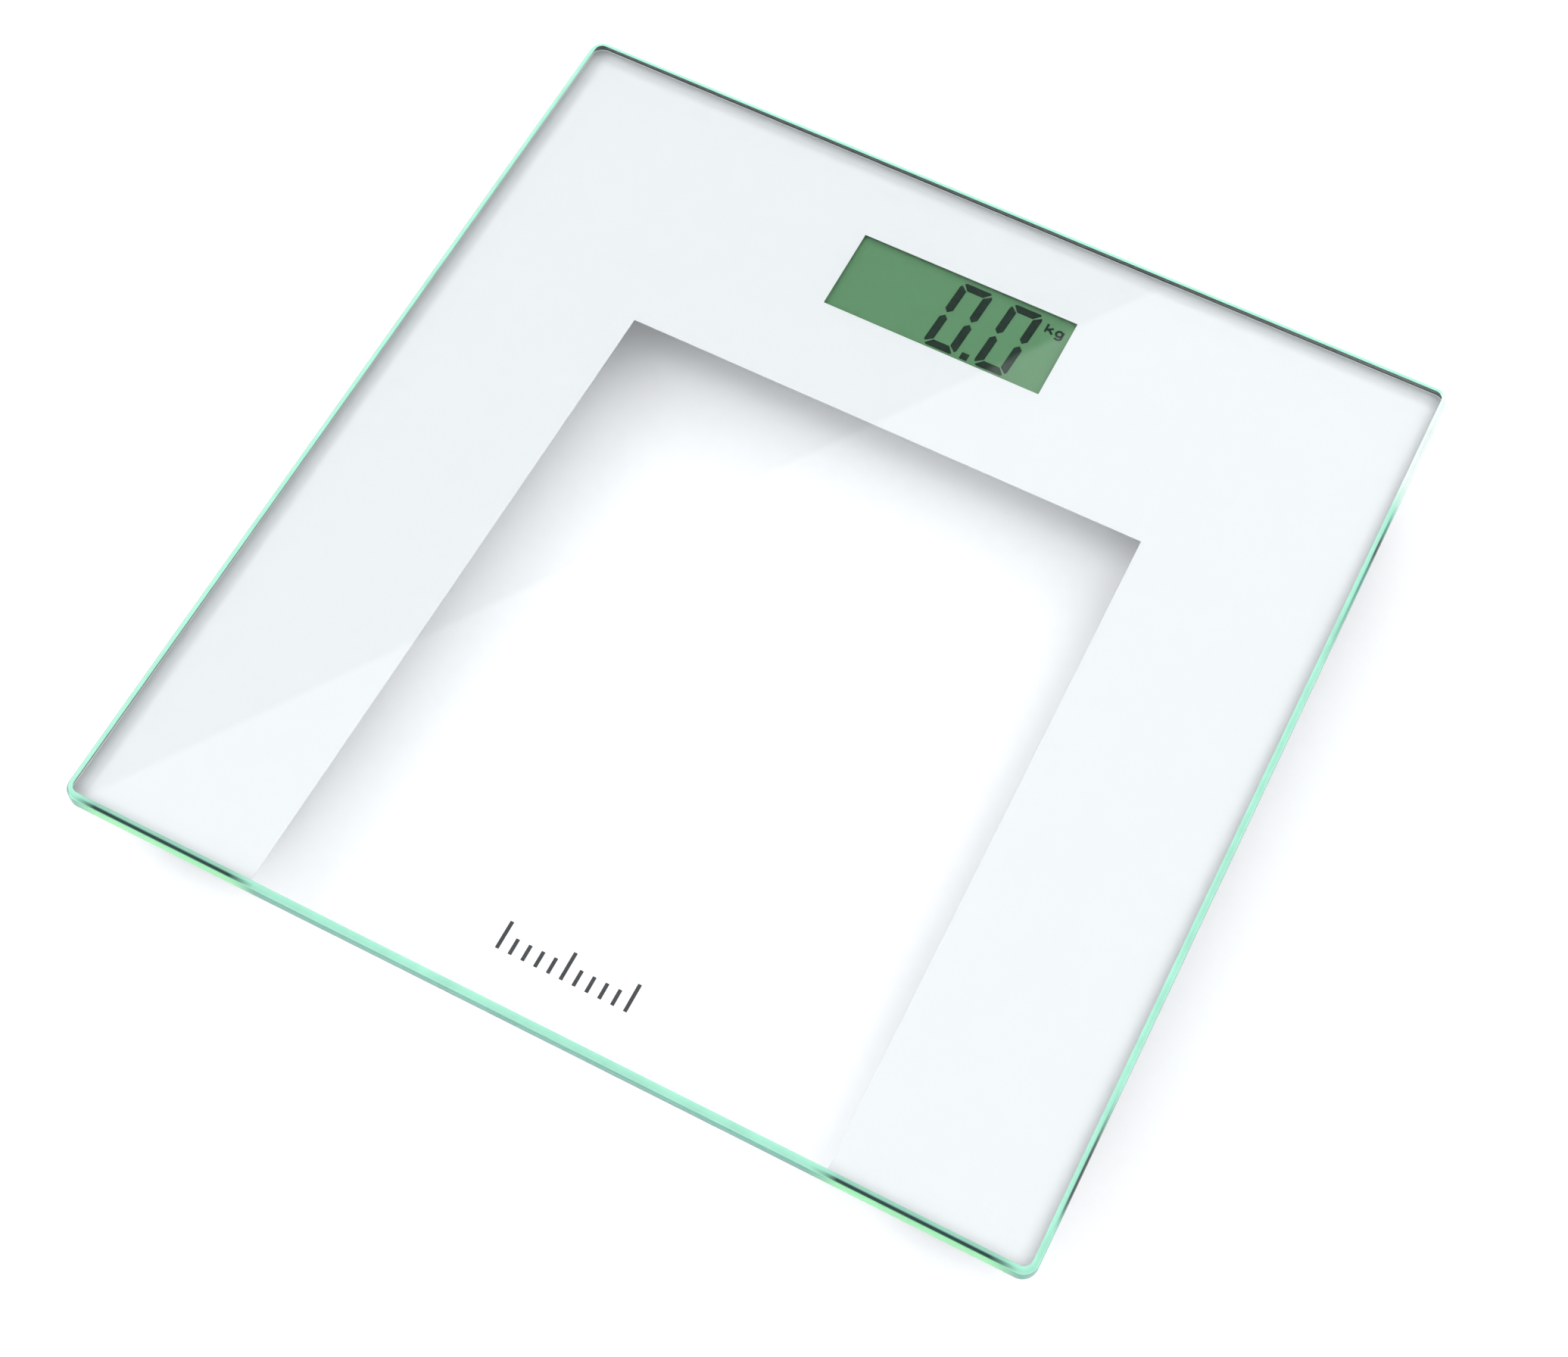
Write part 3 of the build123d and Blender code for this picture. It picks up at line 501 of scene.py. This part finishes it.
class ScaleGlassSettings(bpy.types.PropertyGroup):
    """Sizes and tint of the glass plate, and the tones of light, shade and reflection painted on its
    edge.
    """

    corner: FloatProperty(name="Corner radius", description="Radius of the plate's corners",
                          default=4.6 * MM, unit="LENGTH")
    round_top: FloatProperty(name="Upper round", description="Radius of the upper edge",
                             default=2.0 * MM, unit="LENGTH")
    round_low: FloatProperty(name="Lower round", description="Radius of the lower edge",
                             default=0.8 * MM, unit="LENGTH")
    # Mint, teal, leaf and deep are painted edge tones: light, shade and reflection standing in for
    # refraction.
    mint: FloatVectorProperty(name="Mint", description="Edge colour of the round", size=3,
                              subtype="COLOR", default=linear("#9CDCC3")[:3])
    teal: FloatVectorProperty(name="Teal", description="Edge colour of the flat", size=3,
                              subtype="COLOR", default=linear("#3F9480")[:3])
    leaf: FloatVectorProperty(name="Leaf", description="Brightest green of the edge", size=3,
                              subtype="COLOR", default=linear("#86E09C")[:3])
    deep: FloatVectorProperty(name="Deep", description="Darkest green of the edge", size=3,
                              subtype="COLOR", default=linear("#12302C")[:3])
    tint: FloatVectorProperty(name="Tint", description="What the glass lets pass along its length",
                              subtype="COLOR", size=3, default=(0.60, 0.95, 0.90))
    tint_density: FloatProperty(name="Tint density", description="Absorption per metre",
                                default=4.0)


class ScaleDisplaySettings(bpy.types.PropertyGroup):
    """Sizes of the characters on the display."""

    digit_height: FloatProperty(name="Digit height", description="Height of a digit",
                                default=26.8 * MM, unit="LENGTH")
    digit_width: FloatProperty(name="Digit width", description="Width of a digit",
                               default=11.1 * MM, unit="LENGTH")
    digit_pitch: FloatProperty(name="Digit pitch", description="Distance between digits",
                               default=17.3 * MM, unit="LENGTH")
    stroke: FloatProperty(name="Segment width", description="Width of a segment",
                          default=2.7 * MM, unit="LENGTH")
    slant: FloatProperty(name="Slant", description="Lean of the digits", default=math.radians(4.0),
                         subtype="ANGLE")
    digits: IntProperty(name="Digits", description="Zeros shown", default=2, min=1, max=4)


class ScaleStageSettings(bpy.types.PropertyGroup):
    """Camera, and the levels of the tent of light."""

    azimuth: FloatProperty(name="Azimuth", description="Camera heading", subtype="ANGLE",
                           default=math.radians(25.07))
    elevation: FloatProperty(name="Elevation", description="Camera height angle", subtype="ANGLE",
                             default=math.radians(62.17))
    roll: FloatProperty(name="Roll", description="Turn about the line of sight", subtype="ANGLE",
                        default=math.radians(2.31))
    distance: FloatProperty(name="Distance", description="Camera to aim point", unit="LENGTH",
                            default=0.7613)
    lens: FloatProperty(name="Lens", description="Focal length in mm on a 36 mm sensor",
                        default=60.72)
    aim: FloatVectorProperty(name="Aim", description="Point the camera looks at", size=3,
                             subtype="TRANSLATION", default=(0.0135, -0.0289, 0.022))
    bright: FloatProperty(name="Bright side", description="Radiance of the tent behind the left",
                          default=2.7)
    dim: FloatProperty(name="Dim side", description="Radiance of the tent at the front right",
                       default=1.14)
    panel: FloatProperty(name="Panel", description="Radiance of the mirrored panel", default=0.62)
    card: FloatProperty(name="Card", description="Radiance of the grey card", default=0.08)
    horizon: FloatProperty(name="Horizon", description="Radiance near the floor", default=0.3)
    mirrored: FloatProperty(name="Mirrored", description="Radiance of the low tent in mirrored rays",
                            default=0.4)


# ---------------------------------------------------------------- operators

class SCALE_OT_glass(bpy.types.Operator):
    """Build the toughened glass plate, with light and shade painted on a skin over its polished edge
    """

    bl_idname = "scale_object.glass"
    bl_label = "Glass plate"

    def execute(self, context):
        """Carry the eased edge profile round the plate's rounded outline."""
        cfg = context.scene.scale_glass
        profile = edge_profile(GLASS_LOW[2], GLASS_HIGH[2], cfg.round_low, cfg.round_top)
        path, outward = rounded_outline(GLASS_LOW, GLASS_HIGH, cfg.corner)
        self.plate(cfg, profile, path, outward)
        self.edge(cfg, profile, *refined(path, outward, 4 * MM))
        return {"FINISHED"}

    def plate(self, cfg, profile, path, outward):
        """The clear plate, a hair of air above the ink, so that its tone stays even."""
        lifted = np.where(profile[:, 1:] <= GLASS_LOW[2] + 1e-7, AIR_GAP, 0)
        profile = profile + np.hstack([0 * lifted, lifted])
        profile = np.vstack([profile[:1] - [MM, 0], profile, profile[-1:] - [MM, 0]])
        grid = carried(profile, path, outward)
        plate = shown("glass_plate", *skin(grid), "float_glass", "platform", float_glass(cfg), 60)
        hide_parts("glass_platform")

    def edge(self, cfg, profile, path, outward):
        """The skin of the edge, with light, shade and reflection painted by where it lies round the
        plate.
        """
        run = np.concatenate([[0], np.cumsum(np.linalg.norm(np.diff(profile, axis=0), axis=1))])
        even = np.linspace(0, run[-1], 40)
        profile = np.column_stack([np.interp(even, run, column) for column in profile.T])
        loop = skinned_profile(profile, SKIN_OUTSIDE, SKIN_INSIDE)
        grid = carried(loop, path, outward)
        vertices, faces = skin(grid, closed_profile=True)
        skin_piece = shown("glass_edge", vertices, faces, "float_glass", "platform", painted_edge_light())
        inside = np.broadcast_to(np.arange(len(loop)) >= len(profile), grid.shape[:2])
        facing = np.broadcast_to(outward[:, None, :], grid.shape[:2] + (2,))
        # Painted light, shade and reflection for each point of the skin.
        colour = self.colours(cfg, grid.reshape(-1, 3) / MM, facing.reshape(-1, 2),
                              inside.reshape(-1, 1).astype(float))
        layer = skin_piece.data.attributes.new("edge_light_and_shade", "FLOAT_COLOR", "POINT")
        layer.data.foreach_set("color", np.column_stack([colour, np.ones(len(colour))]).ravel())
        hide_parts("glass_platform")

    def colours(self, cfg, at, facing, inside):
        """Edge tones painted by place as light, shade and reflection: a mint glow on the round over a
        teal flat, moved towards other tones by smooth steps. All in mm, heights z from the plate's
        lower face."""
        mint, teal, leaf, deep = (np.array(c) for c in (cfg.mint, cfg.teal, cfg.leaf, cfg.deep))
        x, y, z = at[:, :1], at[:, 1:2], at[:, 2:] - GLASS_LOW[2] / MM
        left, right = smooth(-facing[:, :1], 0.3, 0.9), smooth(facing[:, :1], 0.3, 0.9)
        front, back = smooth(-facing[:, 1:], 0.3, 0.9), smooth(facing[:, 1:], 0.3, 0.9)

        def toward(colour, goal, amount):
            """Colour moved towards a goal by an amount."""
            return colour + (goal - colour) * amount

        # Painted light: the mint glow of the round over the teal flat, partly the green of the glass
        # itself.
        colour = toward(teal, mint, smooth(z, 4.2, 4.9))
        # Front edge before the two printed strips: painted shade, a dimmer top and a dark streak, over
        # painted leaf-green light low down.
        printed = front * band(np.abs(x), (86, 94), (138, 147))
        colour = toward(colour, mint * 0.72, printed * smooth(z, 5.6, 5.9))
        colour = toward(colour, leaf, printed * (1 - smooth(z, 4.7, 5.0)))
        colour = toward(colour, deep * 1.4, printed * band(z, (4.75, 5.05), (5.65, 5.88)))
        # Left edge: a painted dark reflection line where the round begins.
        colour = toward(colour, deep * 0.2, left * band(z, (4.1, 4.35), (5.2, 5.5)))
        # Right edge: painted shade, duller and darker low down, in two patches, and a painted pale
        # highlight near its rear end.
        low = right * (1 - smooth(z, 5.35, 5.7))
        dark = band(y, (-143, -130), (-118, -95)) + band(y, (84, 90), (94, 100))
        colour = toward(colour, teal * 0.8, low * band(y, (40, 84), (100, 110)))
        colour = toward(colour, deep, low * dark)
        colour = toward(colour, 0.85, right * smooth(y, 104, 120) * 0.75)
        # Inner side, seen through the plate: painted pale light, with a painted shade line low on the
        # back edge.
        colour = toward(colour, np.array([0.88, 0.96, 0.93]), inside)
        colour = toward(colour, deep, inside * back * (1 - smooth(z, 0.08, 0.2)))
        return np.clip(colour, 0, 0.95)


class SCALE_OT_display(bpy.types.Operator):
    """Build the characters shown on the display"""

    bl_idname = "scale_object.display"
    bl_label = "Display characters"

    def execute(self, context):
        """Lay zeros, a decimal point and the unit on the display film."""
        cfg = context.scene.scale_display
        dye = segment_dye()
        low, high = FILM_HIGH[2] + 0.005 * MM, FILM_HIGH[2] + 0.03 * MM
        size = (cfg.digit_width / MM, cfg.digit_height / MM, cfg.stroke / MM)
        zero = [o * MM for o in zero_segments(*size, 1.35, 0.5)]
        middle_y = DIGIT_BASE + cfg.digit_height / 2
        outlines = []
        for count in range(cfg.digits):
            x = DIGIT_X - count * cfg.digit_pitch
            outlines += slanted(zero, x, middle_y, cfg.slant)
        point = np.array([(9.2, 98.4), (11.8, 98.4), (11.9, 101.0), (9.3, 101.0)]) * MM
        outlines.append(point)
        digits = shown("display_digits", *plates(outlines, low, high), "mark_ink", "platform", dye)
        unit = unit_strokes(*UNIT_AT, UNIT_SIZE, UNIT_STROKE)
        letters = shown("display_unit", *plates(unit, low, high), "mark_ink", "platform", dye)
        if digits is None or letters is None:
            raise RuntimeError("the display characters weren't made")
        return {"FINISHED"}


class SCALE_OT_fixed(bpy.types.Operator):
    """Dress every CAD node that keeps its shape"""

    bl_idname = "scale_object.fixed"
    bl_label = "Print, case, board and feet"

    def execute(self, context):
        """Give each node the material of its slot."""
        dress(sorted(frame["nodes"]), slot_materials())
        return {"FINISHED"}


class SCALE_OT_stage(bpy.types.Operator):
    """Set the floor, the tent of light and the camera"""

    bl_idname = "scale_object.stage"
    bl_label = "Stage"

    def execute(self, context):
        """Make the stage from the stage settings."""
        cfg = context.scene.scale_stage
        self.floor()
        self.sky(context, cfg)
        self.camera(context, cfg)
        return {"FINISHED"}

    def floor(self):
        """Pale paper floor with a barely visible tooth."""
        half = 3.0
        mesh = bpy.data.meshes.new("floor")
        mesh.from_pydata([(-half, -half, 0), (half, -half, 0), (half, half, 0), (-half, half, 0)], [],
                         [(0, 1, 2, 3)])
        made, tree, shader = material("paper_floor", Roughness=0.9, IOR=1.45)
        tinted(tree, shader, "#FAFAFB", "#FCFCFD", ranged(tree, pattern(tree, 4.0, 4.0), 0.0, 1.0))
        shader.inputs["Specular IOR Level"].default_value = 0.1
        mesh.materials.append(made)
        floor = bpy.data.objects.new("floor", mesh)
        bpy.context.scene.collection.objects.link(floor)

    def sky(self, context, cfg):
        """Tent of soft white light, brighter behind the left. The plate mirrors a plain panel from
        the main view, and a dark card behind it ends in a straight edge, so that the plate shows
        one slanting line. Mirrored rays and the camera see other levels than the lit object."""
        world = bpy.data.worlds.new("studio")
        world.use_nodes = True
        tree = world.node_tree
        where = add(tree, "ShaderNodeTexCoord").outputs["Generated"]

        def toward(direction):
            """Cosine of the angle to a direction."""
            made = add(tree, "ShaderNodeVectorMath", {1: direction}, {0: where},
                       operation="DOT_PRODUCT")
            return made.outputs["Value"]

        def blend(factor, low, high):
            """Value between two levels or sockets."""
            made = add(tree, "ShaderNodeMix", links={0: factor}, data_type="FLOAT")
            for slot, value in ((2, low), (3, high)):
                if isinstance(value, float):
                    made.inputs[slot].default_value = value
                else:
                    tree.links.new(value, made.inputs[slot])
            return made.outputs[0]

        panel = ranged(tree, toward(TOWARDS_PANEL), 0.0, 1.0, 0.84, 0.93)
        card = ranged(tree, toward(TOWARDS_CARD), 0.0, 1.0, 0.90, 0.95)
        edge = ranged(tree, toward(ACROSS_CARD_EDGE), 1.0, 0.0, -0.0012, 0.0012)
        behind = add(tree, "ShaderNodeMath", operation="MULTIPLY", links={0: card, 1: edge})
        side = ranged(tree, toward(TOWARDS_BRIGHT_SIDE), 0.0, 1.0, -0.3, 0.5)
        rise = ranged(tree, toward(UP), 0.0, 1.0, 0.06, 0.2)
        tent = blend(rise, cfg.horizon, blend(side, cfg.dim, cfg.bright))
        # A mirrored ray sees a calmer tent, so that the plate isn't bleached at a low angle.
        path = add(tree, "ShaderNodeLightPath").outputs
        mirrored = add(tree, "ShaderNodeMath", operation="MULTIPLY",
                       links={0: path["Is Glossy Ray"], 1: path["Is Reflection Ray"]})
        steep = ranged(tree, toward(UP), 0.0, 1.0, 0.3, 0.75)
        tent = blend(mirrored.outputs[0], tent, blend(steep, cfg.mirrored, 0.95))
        lit = blend(panel, tent, cfg.panel)
        level = blend(behind.outputs[0], lit, cfg.card)
        shown_level = blend(path["Is Camera Ray"], level, BACKGROUND_LEVEL)
        back = tree.nodes["Background"]
        back.inputs["Color"].default_value = (0.985, 0.99, 1.0, 1.0)
        tree.links.new(shown_level, back.inputs["Strength"])
        context.scene.world = world
        context.scene.view_settings.view_transform = "Standard"
        context.scene.cycles.blur_glossy = 0.0

    def camera(self, context, cfg):
        """Camera on a sphere round the aim point, turned about its line of sight."""
        ca, sa = math.cos(cfg.azimuth), math.sin(cfg.azimuth)
        ce, se = math.cos(cfg.elevation), math.sin(cfg.elevation)
        sight = Vector((-sa * ce, ca * ce, -se))
        level = Vector((ca, sa, 0))
        over = level.cross(sight)
        right = level * math.cos(cfg.roll) + over * math.sin(cfg.roll)
        up = over * math.cos(cfg.roll) - level * math.sin(cfg.roll)
        view = bpy.data.cameras.new("camera")
        view.lens = cfg.lens
        view.sensor_width = 36.0
        eye = bpy.data.objects.new("camera", view)
        turn = Matrix((right, up, -sight)).transposed().to_4x4()
        eye.matrix_world = Matrix.Translation(Vector(cfg.aim) - sight * cfg.distance) @ turn
        context.scene.collection.objects.link(eye)
        context.scene.camera = eye


class SCALE_PT_panel(bpy.types.Panel):
    """Lists the operators in the order they run"""

    bl_idname = "SCALE_PT_panel"
    bl_label = "Bathroom scale"
    bl_space_type = "VIEW_3D"
    bl_region_type = "UI"
    bl_category = "Scale"

    def draw(self, context):
        """One button for each operator."""
        for operator in OPERATORS:
            self.layout.operator(operator.bl_idname)


SETTINGS = {"scale_glass": ScaleGlassSettings, "scale_display": ScaleDisplaySettings,
            "scale_stage": ScaleStageSettings}
OPERATORS = (SCALE_OT_stage, SCALE_OT_fixed, SCALE_OT_glass, SCALE_OT_display)


def register():
    """Register the settings, operators and panel."""
    for name, group in SETTINGS.items():
        bpy.utils.register_class(group)
        setattr(bpy.types.Scene, name, PointerProperty(type=group))
    for item in (*OPERATORS, SCALE_PT_panel):
        bpy.utils.register_class(item)


def unregister():
    """Undo register."""
    for item in (SCALE_PT_panel, *reversed(OPERATORS)):
        bpy.utils.unregister_class(item)
    for name, group in reversed(SETTINGS.items()):
        delattr(bpy.types.Scene, name)
        bpy.utils.unregister_class(group)


def main():
    """Run every operator in order."""
    register()
    for operator in OPERATORS:
        family, action = operator.bl_idname.split(".")
        getattr(getattr(bpy.ops, family), action)()


if __name__ == "__main__":
    main()
